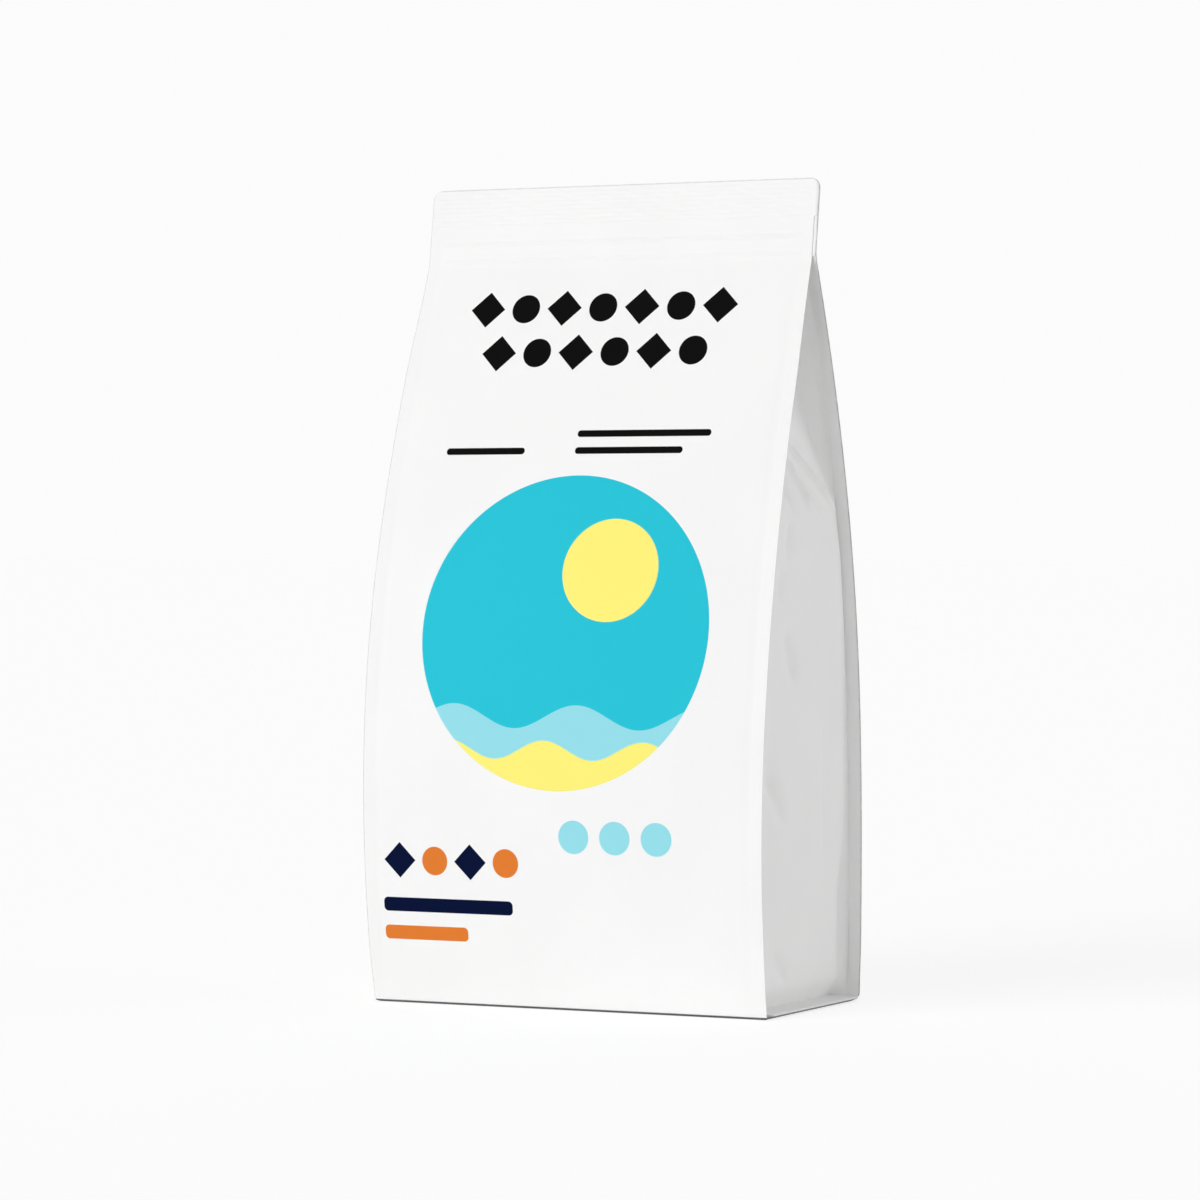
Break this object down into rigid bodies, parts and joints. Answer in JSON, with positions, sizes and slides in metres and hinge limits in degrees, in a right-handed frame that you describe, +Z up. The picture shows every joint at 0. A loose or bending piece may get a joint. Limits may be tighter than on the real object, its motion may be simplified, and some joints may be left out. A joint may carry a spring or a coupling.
{
  "type": "pet food bag",
  "caption": "Filled stand-up pouch of white film with side gussets, edge-seal fins, a flat base and a leaning sealed header with a zipper ridge.",
  "frame": {"origin": "middle of the base panel, on the surface the bag stands on", "axes": "+Z up through the header, -Y out of the front panel, +X to the right as seen from the front"},
  "size_m": [0.1878, 0.1064, 0.349],
  "materials": {
    "film": "matt white film laminate with print in colour fields on the front panel"
  },
  "bodies": {
    "root": {"bag": "film"}
  },
  "joints": []
}
